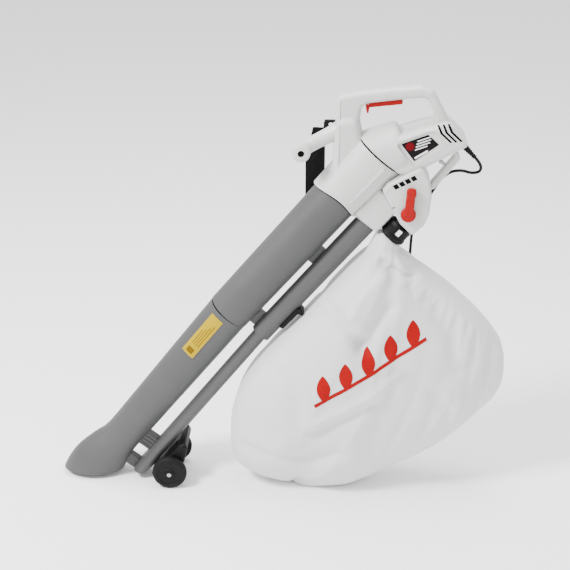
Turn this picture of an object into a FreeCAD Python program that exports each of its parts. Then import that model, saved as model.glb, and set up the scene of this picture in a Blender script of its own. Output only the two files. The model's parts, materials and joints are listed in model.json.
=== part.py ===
import FreeCAD, Part
import math
import os
import Sketcher
from FreeCAD import Placement, Rotation, Vector

# Leaf vacuum mulcher, millimetres, +Z up.  X runs from the nozzle to the motor, the left side is -Y.
# The origin is on the floor under the middle of the machine.

DIMENSIONS = {
    "shift_along": 21.02, "shift_across": 16.0,
    "tool_angle": 49.5, "tool_base_x": 65.8, "tool_base_z": 662.7,
    "bend_angle": 51.5, "bend_at": -300.0,
    "motor_angle": 20.0, "motor_x": 224.5, "motor_z": 827.0,
    "wall": 3.0, "tube_wall": 2.2,
    "tube_top_radius": 54.0, "tube_joint_radius": 51.0, "lower_top_radius": 50.0, "lower_end_radius": 44.5,
    "tube_top": 98.0, "lower_length": 420.0,
    "housing_rim": 64.0, "housing_end": 213.0, "housing_rim_radius": 60.0,
    "housing_end_width": 59.0, "housing_end_height": 66.0, "scallop_radius": 104.0,
    "drum_radius": 60.0, "drum_rear": 42.0,
    "blower_side": -12.0, "blower_drop": -87.5, "blower_top_radius": 25.0, "blower_joint_radius": 24.0,
    "blower_low_height": 33.0, "blower_low_width": 50.0, "blower_end_width": 66.0,
    "motor_half_width": 52.0, "handle_half_width": 17.0, "handle_fillet": 9.0,
    "diverter_side": -24.0, "diverter_half_width": 38.0,
    "wheel_radius": 41.0, "wheel_width": 20.0, "wheel_track": 126.0, "axle_radius": 4.0,
    "shaft_radius": 5.0, "impeller_radius": 52.0, "stator_radius": 30.5,
    "cord_diameter": 7.0,
}

doc = FreeCAD.newDocument("leaf_vacuum_mulcher")
sheet = doc.addObject("Spreadsheet::Sheet", "dims")
for row, (alias, number) in enumerate(DIMENSIONS.items(), start=1):
    sheet.set("A%d" % row, alias)
    sheet.set("B%d" % row, str(number))
    sheet.setAlias("B%d" % row, alias)
doc.recompute()


class Size:
    """A number together with the sheet expression that gives it."""

    def __init__(self, number, text):
        self.number = float(number)
        self.text = text

    def join(self, other, sign, number):
        other = as_size(other)
        return Size(number(self.number, other.number), "(%s %s %s)" % (self.text, sign, other.text))

    def __add__(self, other):
        return self.join(other, "+", lambda a, b: a + b)

    def __sub__(self, other):
        return self.join(other, "-", lambda a, b: a - b)

    def __mul__(self, other):
        return self.join(other, "*", lambda a, b: a * b)

    def __truediv__(self, other):
        return self.join(other, "/", lambda a, b: a / b)

    def __neg__(self):
        return Size(-self.number, "(0 - %s)" % self.text)

    def __float__(self):
        return self.number


def as_size(value):
    return value if isinstance(value, Size) else Size(value, repr(float(value)))


def dim(alias):
    return Size(sheet.get(alias), "dims." + alias)


def bind(target, prop, value):
    """Set a property from a number, or tie it to the sheet when it comes from there."""
    setattr(target, prop, float(value))
    if isinstance(value, Size):
        target.setExpression(prop, value.text)


# ---------------------------------------------------------------- frames

def tilted(x, z, degrees):
    """A frame at (x, z) in the middle plane whose own x axis rises at the given angle."""
    base = Vector(x + float(dim("shift_along")), float(dim("shift_across")), z)
    return Placement(base, Rotation(Vector(0, 1, 0), -degrees))


WORLD = tilted(0, 0, 0)
TOOL = tilted(float(dim("tool_base_x")), float(dim("tool_base_z")), float(dim("tool_angle")))
TOOL_RISE = math.radians(float(dim("tool_angle")))
BEND = float(dim("bend_at"))
LOWER = tilted(float(dim("tool_base_x")) + BEND * math.cos(TOOL_RISE),
               float(dim("tool_base_z")) + BEND * math.sin(TOOL_RISE), float(dim("bend_angle")))
MOTOR = tilted(float(dim("motor_x")), float(dim("motor_z")), float(dim("motor_angle")))

NODES = {}


def keep(obj, label):
    obj.Label = label
    NODES[label] = obj
    return obj


# ---------------------------------------------------------------- primitives

AXES = {"x": Vector(1, 0, 0), "y": Vector(0, 1, 0), "z": Vector(0, 0, 1)}


def cylinder(frame, radius, length, at, along="z"):
    obj = doc.addObject("Part::Cylinder", "cylinder")
    bind(obj, "Radius", radius)
    bind(obj, "Height", length)
    direction = AXES[along] if isinstance(along, str) else Vector(*along)
    turn = Rotation(Vector(0, 0, 1), direction)
    obj.Placement = frame.multiply(Placement(Vector(*[float(v) for v in at]), turn))
    return obj


def cone(frame, radius_1, radius_2, length, at, along):
    obj = doc.addObject("Part::Cone", "cone")
    bind(obj, "Radius1", radius_1)
    bind(obj, "Radius2", radius_2)
    bind(obj, "Height", length)
    direction = AXES[along] if isinstance(along, str) else Vector(*along)
    turn = Rotation(Vector(0, 0, 1), direction)
    obj.Placement = frame.multiply(Placement(Vector(*[float(v) for v in at]), turn))
    return obj


def block(frame, size, at, turn=None):
    """A box given by its size and its lowest corner."""
    obj = doc.addObject("Part::Box", "block")
    for prop, value in zip(("Length", "Width", "Height"), size):
        bind(obj, prop, value)
    obj.Placement = frame.multiply(Placement(Vector(*[float(v) for v in at]), turn or Rotation()))
    return obj


def fuse(*shapes):
    obj = doc.addObject("Part::MultiFuse", "fused")
    obj.Shapes = list(shapes)
    obj.Refine = True
    return obj


def cut(base, *tools):
    for tool in tools:
        trimmed = doc.addObject("Part::Cut", "trimmed")
        trimmed.Base = base
        trimmed.Tool = tool
        base = trimmed
    return base


def common(first, second):
    obj = doc.addObject("Part::MultiCommon", "shared")
    obj.Shapes = [first, second]
    return obj


def ring(frame, outer, inner, length, at, along="z"):
    start = Vector(*[float(v) for v in at])
    direction = AXES[along] if isinstance(along, str) else Vector(*along)
    body = cylinder(frame, outer, length, at, along)
    bore = cylinder(frame, inner, as_size(length) + 2.0, tuple(start - direction), along)
    return cut(body, bore)


def rounded(base, radius, test):
    """Fillet the edges of a solid whose ends and middle all pass the test."""
    doc.recompute()
    chosen = []
    for number, edge in enumerate(base.Shape.Edges, start=1):
        points = [edge.valueAt(edge.FirstParameter + (edge.LastParameter - edge.FirstParameter) * part)
                  for part in (0.0, 0.5, 1.0)]
        local = [base.Placement.inverse().multVec(point) for point in points]
        if all(test(point) for point in local):
            chosen.append((number, radius, radius))
    obj = doc.addObject("Part::Fillet", "rounded")
    obj.Base = base
    obj.Edges = chosen
    return obj


# ---------------------------------------------------------------- sketched solids

def origin_plane(body, role):
    return next(item for item in body.Origin.OriginFeatures if item.Role == role)


def sketch_on(body, role, offset=0.0, turn=None, along=(0.0, 0.0)):
    sketch = body.newObject("Sketcher::SketchObject", "profile")
    sketch.AttachmentSupport = [(origin_plane(body, role), "")]
    sketch.MapMode = "FlatFace"
    sketch.AttachmentOffset = Placement(Vector(along[0], along[1], float(offset)), turn or Rotation())
    return sketch


def pin_point(sketch, geometry, end, across, up):
    """Fix one sketch point at its distances from the sketch origin."""
    for kind, axis, value in (("DistanceX", -2, across), ("DistanceY", -1, up)):
        if abs(float(value)) < 1e-9:
            sketch.addConstraint(Sketcher.Constraint("PointOnObject", geometry, end, axis))
            continue
        index = sketch.addConstraint(Sketcher.Constraint(kind, -1, 1, geometry, end, float(value)))
        if isinstance(value, Size):
            sketch.setExpression("Constraints[%d]" % index, value.text)


def polygon(sketch, points):
    places = [Vector(float(a), float(b), 0) for a, b in points]
    for index, place in enumerate(places):
        sketch.addGeometry(Part.LineSegment(place, places[(index + 1) % len(places)]))
    for index, (across, up) in enumerate(points):
        pin_point(sketch, index, 1, across, up)
        sketch.addConstraint(Sketcher.Constraint("Coincident", index, 2, (index + 1) % len(points), 1))


def circle(sketch, radius, across=0.0, up=0.0):
    index = sketch.addGeometry(Part.Circle(Vector(float(across), float(up), 0), Vector(0, 0, 1), float(radius)))
    pin_point(sketch, index, 3, across, up)
    number = sketch.addConstraint(Sketcher.Constraint("Radius", index, float(radius)))
    if isinstance(radius, Size):
        sketch.setExpression("Constraints[%d]" % number, radius.text)


def oval(sketch, half_width, half_height, across=0.0, up=0.0):
    """An ellipse, drawn as itself, whose axes follow the sketch axes."""
    centre = Vector(float(across), float(up), 0)
    wide = centre + Vector(float(half_width), 0, 0)
    high = centre + Vector(0, float(half_height), 0)
    if abs(float(half_height) - float(half_width)) < 1e-6:
        shape = Part.Circle(centre, Vector(0, 0, 1), float(half_width))
    elif float(half_height) > float(half_width):
        shape = Part.Ellipse(high, wide, centre)
    else:
        shape = Part.Ellipse(wide, high, centre)
    sketch.addGeometry(shape)


def new_body(name, frame):
    body = doc.addObject("PartDesign::Body", name)
    body.Placement = frame
    return body


def prism(name, frame, points, side_from, side_to):
    """A side profile (x, z) padded across the machine from side_from up to side_to."""
    body = new_body(name, frame)
    sketch = sketch_on(body, "XZ_Plane", -float(side_to))
    polygon(sketch, points)
    pad = body.newObject("PartDesign::Pad", "Pad")
    pad.Profile = sketch
    bind(pad, "Length", as_size(side_to) - as_size(side_from))
    return body


def pocket(body, role, offset, draw, depth, reverse, through=False):
    """Cut a sketched shape out of a body and prove that it took material away."""
    doc.recompute()
    before = body.Shape.Volume
    sketch = sketch_on(body, role, offset)
    draw(sketch)
    hole = body.newObject("PartDesign::Pocket", "Pocket")
    hole.Profile = sketch
    if through:
        hole.Type = 1
        hole.Midplane = True
    else:
        bind(hole, "Length", depth)
        hole.Reversed = reverse
    doc.recompute()
    assert body.Shape.Volume < before - 1.0, "a pocket of %s cut nothing" % body.Name
    return hole


def revolved(name, frame, points):
    """A profile (x, radius) turned about the frame's own x axis."""
    body = new_body(name, frame)
    sketch = sketch_on(body, "XZ_Plane")
    polygon(sketch, points)
    turn = body.newObject("PartDesign::Revolution", "Revolution")
    turn.Profile = sketch
    turn.ReferenceAxis = (sketch, ["H_Axis"])
    turn.Angle = 360.0
    return body


def lofted(name, frame, outer, inner):
    """A duct lofted through ovals.  Each oval: (x, z, half_width, half_height, tilt, y)."""
    body = new_body(name, frame)
    for kind, ovals in (("PartDesign::AdditiveLoft", outer), ("PartDesign::SubtractiveLoft", inner)):
        sketches = []
        for x, z, half_width, half_height, tilt, y in ovals:
            sketch = sketch_on(body, "YZ_Plane", x, Rotation(Vector(1, 0, 0), tilt), (float(y), float(z)))
            oval(sketch, half_width, half_height)
            sketches.append(sketch)
        if not sketches:
            continue
        doc.recompute()
        loft = body.newObject(kind, "Loft")
        loft.Profile = sketches[0]
        loft.Sections = sketches[1:]
        loft.Ruled = True
        doc.recompute()
    return body


def inset(points, distance):
    """Move every side of a closed outline inwards."""
    plain = [(float(a), float(b)) for a, b in points]
    area = sum(a[0] * b[1] - b[0] * a[1] for a, b in zip(plain, plain[1:] + plain[:1]))
    side = 1.0 if area > 0 else -1.0
    lines = []
    for (ax, az), (bx, bz) in zip(plain, plain[1:] + plain[:1]):
        length = math.hypot(bx - ax, bz - az)
        normal = (-(bz - az) / length * side, (bx - ax) / length * side)
        lines.append((normal, normal[0] * ax + normal[1] * az + distance))
    result = []
    for (n_1, c_1), (n_2, c_2) in zip(lines[-1:] + lines[:-1], lines):
        cross = n_1[0] * n_2[1] - n_1[1] * n_2[0]
        result.append(((c_1 * n_2[1] - c_2 * n_1[1]) / cross, (n_1[0] * c_2 - n_2[0] * c_1) / cross))
    return result


def soft_prism(name, frame, points, low, high, face, fillet):
    """A padded side profile with the edges round one of its end faces rounded."""
    body = prism(name, frame, points, low, high)
    doc.recompute()
    pad = body.Tip
    chosen = ["Edge%d" % number for number, edge in enumerate(pad.Shape.Edges, start=1)
              if all(abs(vertex.Point.y - face) < 0.01 for vertex in edge.Vertexes)]
    soft = body.newObject("PartDesign::Fillet", "Fillet")
    soft.Base = (pad, chosen)
    soft.Radius = fillet
    doc.recompute()
    assert "Invalid" not in soft.State, "the fillet of %s failed" % name
    return body


def half_shell(name, frame, points, middle, half_width, side, fillet, wall):
    """One half of a clamshell, rounded outside and inside, open at its parting plane."""
    reach = float(half_width)
    near, far = middle, middle + side * reach
    outer = soft_prism(name, frame, points, min(near, far), max(near, far), far, fillet)
    near_in, far_in = middle - side * 1.0, middle + side * (reach - wall)
    hollow = soft_prism(name + "_hollow", frame, inset(points, wall), min(near_in, far_in),
                        max(near_in, far_in), far_in, max(fillet - wall, 1.0))
    return outer, hollow


# ---------------------------------------------------------------- vacuum tubes and nozzle

NOZZLE_OVALS = [(-459.5, 5.5, 46, 52.5, -11.5, 0), (-496, 8.3, 48.5, 62.5, -22.6, 0),
                (-541.3, 2.6, 50, 74, -38.5, 0)]


def vacuum_tubes():
    wall = dim("tube_wall")
    top, joint = dim("tube_top_radius"), dim("tube_joint_radius")
    upper = revolved("upper_vacuum_tube", TOOL, [
        (dim("bend_at"), joint), (dim("tube_top"), top),
        (dim("tube_top"), top - wall), (dim("bend_at"), joint - wall)])
    keep(upper, "upper_vacuum_tube")
    length = float(dim("lower_length"))
    start, end = float(dim("lower_top_radius")), float(dim("lower_end_radius"))
    thick = float(wall)
    outer = [(-2.4, 0, start, start, 0, 0), (-length / 2, 0, (start + end) / 2, (start + end) / 2, 0, 0),
             (-length, 0, end, end, 0, 0)] + NOZZLE_OVALS
    inner = [(x, z, wide - thick, high - thick, tilt, y) for x, z, wide, high, tilt, y in outer]
    keep(lofted("lower_vacuum_tube", LOWER, outer, inner), "lower_vacuum_tube")


# ---------------------------------------------------------------- front housing and fan drum

def air_housings():
    rim, end = float(dim("housing_rim")), float(dim("housing_end"))
    radius, wide, high = (float(dim(name)) for name in
                          ("housing_rim_radius", "housing_end_width", "housing_end_height"))
    wall = float(dim("wall"))
    outer = [(rim, 0, radius, radius, 0, 0), (end, -5.5, wide, high, 0, 0)]
    inner = [(x, z, a - wall, b - wall, tilt, y) for x, z, a, b, tilt, y in outer]
    front = lofted("front_housing", TOOL, outer, inner)
    scallop = float(dim("scallop_radius"))
    reach = 75.0
    depth = scallop - math.sqrt(scallop ** 2 - reach ** 2)

    def rim_cut(sketch):
        centre = Vector(rim + 0.1 + scallop, 0, 0)
        bow = Part.Arc(Vector(rim + 0.1 + depth, -reach, 0), centre - Vector(scallop, 0, 0),
                       Vector(rim + 0.1 + depth, reach, 0))
        corners = [(rim + depth + 0.1, reach), (rim - 10, reach), (rim - 10, -reach),
                   (rim + depth + 0.1, -reach)]
        sketch.addGeometry(bow)
        for first, second in zip(corners, corners[1:]):
            sketch.addGeometry(Part.LineSegment(Vector(*first, 0), Vector(*second, 0)))

    pocket(front, "XY_Plane", 0, rim_cut, 0, False, through=True)
    keep(front, "front_housing")

    drum, rear = float(dim("drum_radius")), float(dim("drum_rear"))
    shell = revolved("fan_drum", MOTOR, [
        (-50, drum), (rear - 12, drum), (rear - 3.5, drum - 3.5), (rear, drum - 12), (rear, 40),
        (rear - 3, 40), (rear - 3, drum - 13), (rear - 6, drum - 7), (rear - 13, drum - 3), (-50, drum - 3)])
    front_side = block(TOOL, (200, 200, 300), (end + 3.0 - 200, -100, -150))
    outlet = block(MOTOR, (16, 60, 30), (24, -54, -75))
    keep(cut(shell, front_side, outlet), "fan_housing")
    plate = common(cylinder(MOTOR, drum - 3.2, 3.0, (23, 0, 0), "x"),
                   cylinder(MOTOR, drum - 3.2, 40.0, (0, 0, 0), "x"))
    keep(cut(plate, cylinder(MOTOR, 8.0, 10, (20, 0, 0), "x")), "fan_back_plate")


def housing_envelope():
    """The outside of the front housing and the drum, grown a little, to trim their neighbours with."""
    rim, end = float(dim("housing_rim")), float(dim("housing_end"))
    radius, wide, high = (float(dim(name)) for name in
                          ("housing_rim_radius", "housing_end_width", "housing_end_height"))
    grow = 0.1
    duct = lofted("duct_envelope", TOOL,
                  [(rim - 12, 0.45, radius + grow, radius + grow - 0.5, 0, 0),
                   (end + 3, -5.6, wide + grow, high + grow, 0, 0)], [])
    drum = float(dim("drum_radius")) + grow
    rear = float(dim("drum_rear"))
    shell = revolved("drum_envelope", MOTOR, [
        (-60, 0), (-60, drum), (rear - 12, drum), (rear - 3.4, drum - 3.4), (rear + grow, drum - 12),
        (rear + grow, 0)])
    ahead = block(TOOL, (200, 200, 300), (end + 3.0 - 200, -100, -150))
    return fuse(duct, cut(shell, ahead))


# ---------------------------------------------------------------- motor housing and handle

MOTOR_OUTLINE = [(215, 866), (300, 893), (352, 901), (395, 858), (376, 840), (276, 786), (225, 780)]
GRIP_OUTLINE = [(74, 768), (107, 803), (110, 860), (112, 938), (121, 953), (161, 961), (230, 970),
                (294, 975), (316, 969), (325, 957), (358, 897), (350, 880), (318, 880), (324, 910),
                (311, 944), (300, 949), (250, 945), (176, 937), (166, 928), (163, 900), (168, 872),
                (168, 820), (100, 770)]
GRIP_HOLLOW = [(120, 880), (121, 938), (128, 949), (161, 957), (230, 966), (293, 971), (312, 965),
               (320, 955), (318, 948), (301, 953), (250, 949), (172, 941), (160, 930), (156, 880)]


def main_housings(envelope):
    half = float(dim("motor_half_width"))
    for label, side in (("motor_housing_left", -1), ("motor_housing_right", 1)):
        body, hollow = half_shell(label, WORLD, MOTOR_OUTLINE, 0.0, half, side, 13.0, 3.0)

        def vents(sketch):
            for step in range(3):
                x = 331 + 12.0 * step
                z = 889 + 1.0 * step
                polygon_part(sketch, [(x, z), (x + 4, z), (x + 36, z - 28), (x + 32, z - 28)])

        pocket(body, "XZ_Plane", half * -side, vents, 12.0, side > 0)
        doc.recompute()
        keep(cut(body, hollow, envelope, block(MOTOR, (200, 200, 240), (22 - 200, -100, -120))), label)
    grip = float(dim("handle_half_width"))
    room = drum_and_motor_envelope(envelope)
    for label, side in (("handle_left", -1), ("handle_right", 1)):
        body = new_body(label, WORLD)
        sketch = sketch_on(body, "XZ_Plane", 0.0 if side < 0 else -grip)
        polygon(sketch, GRIP_OUTLINE)
        pad = body.newObject("PartDesign::Pad", "Pad")
        pad.Profile = sketch
        bind(pad, "Length", dim("handle_half_width"))
        doc.recompute()
        face = side * grip
        chosen = ["Edge%d" % number for number, edge in enumerate(pad.Shape.Edges, start=1)
                  if all(abs(vertex.Point.y - face) < 0.01 for vertex in edge.Vertexes)]
        soft = body.newObject("PartDesign::Fillet", "Fillet")
        soft.Base = (pad, chosen)
        soft.Radius = float(dim("handle_fillet"))
        doc.recompute()
        assert "Invalid" not in soft.State, "the fillet of %s failed" % label
        pocket(body, "XZ_Plane", 0.0, lambda drawn: polygon(drawn, GRIP_HOLLOW), grip - 3.5, side < 0)
        slot = block(WORLD, (84.5, 17, 34), (171, -8.5, 925))
        pin_bore = cylinder(WORLD, 2.03, 26.2, (180, -13.1, 937), "y")
        keep(cut(body, slot, pin_bore, room), label)


def polygon_part(sketch, points):
    """One more closed outline in a sketch that already holds some."""
    first = sketch.GeometryCount
    places = [Vector(a, b, 0) for a, b in points]
    for index, place in enumerate(places):
        sketch.addGeometry(Part.LineSegment(place, places[(index + 1) % len(places)]))
    for index in range(len(points)):
        pin_point(sketch, first + index, 1, points[index][0], points[index][1])
        after = first + (index + 1) % len(points)
        sketch.addConstraint(Sketcher.Constraint("Coincident", first + index, 2, after, 1))


def drum_and_motor_envelope(envelope):
    box = prism("motor_envelope", WORLD, inset(MOTOR_OUTLINE, -0.1), -60.0, 60.0)
    return fuse(envelope, box)


def controls():
    trigger = prism("trigger_blade", WORLD, [(175, 925), (178, 914), (181, 914), (183, 927), (252, 934.5),
                                             (254.5, 937), (254, 946.5), (200, 946), (178, 944), (174, 940)],
                    -8.0, 8.0)
    pin_hole = cylinder(WORLD, 2.05, 20, (180, -10, 937), "y")
    keep(cut(trigger, pin_hole), "trigger")
    keep(cylinder(WORLD, 2.0, 26, (180, -13, 937), "y"), "trigger_pin")
    keep(ring(WORLD, 3.0, 2.2, 19.6, (243, 0, 946.8), "z"), "trigger_spring")
    keep(block(WORLD, (34, 18, 11), (259, -9, 953)), "switch_body")


# ---------------------------------------------------------------- diverter, adapter and bag connector

DIVERTER = [(166, -50), (262, -50), (262, -88), (248, -118), (226, -143), (192, -167), (166, -177),
            (131, -173), (134, -135), (161, -66)]


def diverter(envelope):
    middle, half = float(dim("diverter_side")), float(dim("diverter_half_width"))
    low_mouth = cylinder(TOOL, 24.2, 60, (100, middle, -148), "x")
    high_mouth = cylinder(TOOL, 21.0, 60, (120, float(dim("blower_side")), -88), "x")
    shaft_hole = cylinder(TOOL, 5.05, 100, (165, middle - 50, -130), "y")
    throat = block(TOOL, (70, 2 * half - 12, 60), (178, middle - half + 6, -70))
    room = drum_and_motor_envelope(envelope)
    for label, side in (("diverter_left", -1), ("diverter_right", 1)):
        body, hollow = half_shell(label, TOOL, DIVERTER, middle, half, side, 7.0, 3.0)
        keep(cut(body, hollow, room, low_mouth, high_mouth, shaft_hole, throat), label)
    adapter = prism("adapter_box", TOOL, [(80, -50), (160, -50), (160, -66.5), (142.5, -113.0), (83, -113.0)],
                    float(dim("blower_side")) - 28.0, float(dim("blower_side")) + 28.0)
    drop = float(dim("blower_drop"))
    across = float(dim("blower_side"))
    socket = cylinder(TOOL, 25.2, 24, (78, across, drop), "x")
    bore = cylinder(TOOL, 21.0, 100, (78, across, -88), "x")
    keep(cut(adapter, envelope, socket, bore), "blower_adapter")
    keep(ring(TOOL, 24.0, 21.5, 50, (92, middle, -148), "x"), "bag_spigot")
    sleeve = ring(TOOL, 29.0, 24.1, 36, (92, middle, -148), "x")
    band = ring(TOOL, 31.0, 29.0, 8, (94, middle, -148), "x")
    boss = block(TOOL, (22, 10, 17), (106, middle - 36, -155))
    recess = block(TOOL, (14.4, 7, 9.4), (109.8, middle - 36, -151.2))
    keep(cut(fuse(sleeve, band, boss), recess), "bag_connector")
    keep(block(TOOL, (14, 5, 9), (110, middle - 37.5, -151)), "bag_latch")


def mode_control():
    middle, half = float(dim("diverter_side")), float(dim("diverter_half_width"))
    near = middle - half
    pivot = (165.0, -130.0)
    rise = Rotation(Vector(0, 1, 0), -(90.0 - float(dim("tool_angle"))) )
    base = cylinder(TOOL, 17, 10, (pivot[0], near - 12.3, pivot[1]), "y")
    arm = block(TOOL, (58, 8, 17), (pivot[0], near - 14.5, pivot[1] - 8.5))
    arm.Placement = TOOL.multiply(Placement(Vector(pivot[0], near - 14.5, pivot[1]), rise)).multiply(
        Placement(Vector(0, 0, -8.5), Rotation()))
    knob_at = TOOL.multiply(Placement(Vector(pivot[0], near - 16.5, pivot[1]), rise))
    knob = cylinder(knob_at, 11, 12, (56, 0, 0), "y")
    shaft_socket = cylinder(TOOL, 5.0, 9, (pivot[0], near - 9.3, pivot[1]), "y")
    keep(cut(fuse(base, arm, knob), shaft_socket), "mode_lever")
    width = 2 * half - 10
    blade = block(TOOL, (3, width, 56), (pivot[0] - 1.5, near + 5, pivot[1]))
    keep(fuse(cylinder(TOOL, 5.0, 2 * half + 5.5, (pivot[0], near - 6, pivot[1]), "y"), blade), "flap")


# ---------------------------------------------------------------- blower tubes and their brackets

def blower_tubes():
    across, drop = float(dim("blower_side")), float(dim("blower_drop"))
    top, joint = float(dim("blower_top_radius")), float(dim("blower_joint_radius"))
    upper = lofted("upper_blower_tube", TOOL,
                   [(101.5, drop, top, top, 0, across), (-286, drop, joint, joint, 0, across)],
                   [(101.5, drop, top - 2, top - 2, 0, across), (-286, drop, joint - 2, joint - 2, 0, across)])
    keep(upper, "upper_blower_tube")
    high, wide, end = (float(dim(name)) / 2 for name in
                       ("blower_low_height", "blower_low_width", "blower_end_width"))
    low = lofted("lower_blower_tube", LOWER,
                 [(12, drop, wide - 3, high, 0, across), (-300, drop, wide, high, 0, across),
                  (-464, drop, end, (high - 1.0) * 1.278, -38.5, across)],
                 [(12, drop, wide - 5, high - 2, 0, across), (-300, drop, wide - 2, high - 2, 0, across),
                  (-464, drop, end - 2, (high - 3.0) * 1.278, -38.5, across)])
    keep(low, "lower_blower_tube")
    closing = ring(TOOL, joint, 1.0, 4.0, (-290.2, across, drop), "x")
    window = lofted("joint_window", LOWER, [(40, drop, wide - 2.9, high + 0.1, 0, across),
                                            (-20, drop, wide - 2.9, high + 0.1, 0, across)], [])
    keep(cut(closing, window), "blower_joint_ring")


def tube_envelope(side_grow=0.1):
    """The outsides of all four tubes, to trim the brackets between them with."""
    across, drop = float(dim("blower_side")), float(dim("blower_drop"))
    top, joint = float(dim("blower_top_radius")), float(dim("blower_joint_radius"))
    main = revolved("main_tube_envelope", TOOL, [
        (dim("bend_at"), 0), (dim("bend_at"), dim("tube_joint_radius") + side_grow),
        (dim("tube_top"), dim("tube_top_radius") + side_grow), (dim("tube_top"), 0)])
    start, end = float(dim("lower_top_radius")), float(dim("lower_end_radius"))
    length = float(dim("lower_length"))
    middle = (start + end) / 2
    nozzle = lofted("lower_tube_envelope", LOWER,
                    [(-2.4, 0, start + side_grow, start + side_grow, 0, 0),
                     (-length / 2, 0, middle + side_grow, middle + side_grow, 0, 0),
                     (-length, 0, end + side_grow, end + side_grow, 0, 0)]
                    + [(x, z, wide + side_grow, tall + side_grow, tilt, y)
                       for x, z, wide, tall, tilt, y in NOZZLE_OVALS], [])
    upper = revolved("upper_blower_envelope", TOOL.multiply(Placement(Vector(0, across, drop), Rotation())), [
        (101.5, 0), (101.5, top + side_grow), (-291, joint + side_grow), (-291, 0)])
    high, wide, tip = (float(dim(name)) / 2 + side_grow for name in
                       ("blower_low_height", "blower_low_width", "blower_end_width"))
    low = lofted("lower_blower_envelope", LOWER,
                 [(12, drop, wide - 3, high, 0, across), (-300, drop, wide, high, 0, across),
                  (-464, drop, tip, (high - 1.0) * 1.278, -38.5, across)], [])
    return main, nozzle, upper, low


def brackets(envelope):
    across = float(dim("blower_side"))
    spacer = block(TOOL, (44, 16, 30), (-80, across + 1, -74))
    keep(cut(spacer, *envelope), "tube_spacer")
    clip = block(TOOL, (34, 24, 40), (-284, across, -80))
    keep(cut(clip, *envelope), "tube_clip")
    bracket = block(LOWER, (34, 30, 40), (-412, across - 6, -76))
    keep(cut(bracket, *envelope), "tube_bracket")
    strut = block(LOWER, (26, 22, 44), (-478, across - 2, -82))
    keep(cut(strut, *envelope), "nozzle_strut")
    hook = prism("hook_plate", TOOL, [(-246, -104), (-180, -104), (-176, -110), (-180, -113), (-192, -111),
                                      (-246, -111)], across - 16.0, across + 12.0)
    keep(cut(hook, *envelope), "bag_hook")


def running_gear(envelope):
    across = float(dim("blower_side"))
    radius, track, width = dim("wheel_radius"), float(dim("wheel_track")), dim("wheel_width")
    axle_x, axle_z = -274.0, float(radius)
    inner = track / 2 - float(width) / 2
    carriage = prism("carriage_block", WORLD, [(-322, 26), (-300, 46), (-250, 108), (-236, 112),
                                               (-230, 98), (-240, 60), (-254, 34), (-272, 25), (-300, 20)],
                     across - inner + 1.5, across + inner - 1.5)
    axle_hole = cylinder(WORLD, dim("axle_radius"), track, (axle_x, across - track / 2, axle_z), "y")
    keep(cut(carriage, axle_hole, *envelope), "wheel_carriage")
    keep(cylinder(WORLD, dim("axle_radius"), track + 24, (axle_x, across - track / 2 - 12, axle_z), "y"),
         "axle")
    for label, side in (("wheel_left", -1), ("wheel_right", 1)):
        face = across + side * track / 2 - float(width) / 2
        tyre = rounded(cylinder(WORLD, radius, width, (axle_x, face, axle_z), "y"), 4.0,
                       lambda point: True)
        hub = cylinder(WORLD, dim("axle_radius") + 0.06, width + 10.0, (axle_x, face - 5, axle_z), "y")
        dish = ring(WORLD, 27.0, 11.0, 4.0, (axle_x, across + side * (track / 2 + float(width) / 2 - 1.5)
                                            - 2.0, axle_z), "y")
        keep(cut(tyre, hub, dish), label)
    caps = [cylinder(WORLD, 5.2, 2.5, (axle_x, across + side * (track / 2 + 12) - (0 if side > 0 else 2.5),
                                       axle_z), "y") for side in (-1, 1)]
    keep(fuse(*caps), "hub_caps")


# ---------------------------------------------------------------- handle at the side, strap, lower grip

def carrying_parts(envelope):
    horn_x, horn_z = 36.6, 838.0
    grip = cylinder(WORLD, 16.5, 64, (horn_x, -56, horn_z), "y")
    rise = math.atan2(28.0, 68.0)
    arm_frame = WORLD.multiply(Placement(Vector(horn_x, -8, horn_z), Rotation(Vector(0, 1, 0),
                                                                           -math.degrees(rise))))
    arm = cylinder(arm_frame, 15.5, 86.0, (0, 0, 0), "x")
    post = prism("grip_envelope", WORLD, [(106.9, 790), (106.9, 803), (109.9, 860), (111.9, 960), (200, 960),
                                          (200, 790)], -30.0, 30.0)
    screw_hole = cylinder(WORLD, 3.0, 30, (horn_x, -60, horn_z), "y")
    keep(cut(fuse(grip, arm, cylinder(WORLD, 15.5, 16, (horn_x, -8, horn_z), "y")), post, screw_hole),
         "aux_handle")
    cap = cylinder(WORLD, 20.5, 9, (horn_x, -65, horn_z), "y")
    recess = cylinder(WORLD, 4.6, 5, (horn_x, -66, horn_z), "y")
    keep(cut(cap, recess, cylinder(WORLD, 3.0, 20, (horn_x, -66, horn_z), "y")), "aux_handle_cap")
    keep(cylinder(WORLD, 3.0, 28, (horn_x, -61, horn_z), "y"), "aux_handle_screw")
    lug = fuse(block(WORLD, (40, 8, 22), (86, 17.1, 868)), block(WORLD, (8, 38.8, 8), (84, 17.1, 868)))
    eye = cylinder(WORLD, 5.0, 20, (100, 10, 880), "y")
    keep(cut(lug, eye), "strap_lug")
    keep(rounded(block(WORLD, (44, 12, 262), (44, 56, 606)), 5.0,
                 lambda point: point.z < 1 or point.z > 261), "shoulder_strap")
    bar = prism("lower_bar", WORLD, [(368, 830), (376, 841), (381, 825), (386, 812), (331, 741), (316, 738),
                                     (316, 752), (323, 758), (372, 822)], -11.0, 11.0)
    motor_side = prism("motor_side", WORLD, inset(MOTOR_OUTLINE, -0.1), -60.0, 60.0)
    duct_side = prism("duct_side", TOOL, inset(DIVERTER, -0.1), -70.0, 20.0)
    keep(cut(bar, motor_side, duct_side), "lower_grip_bar")


# ---------------------------------------------------------------- motor and fan inside

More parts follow.
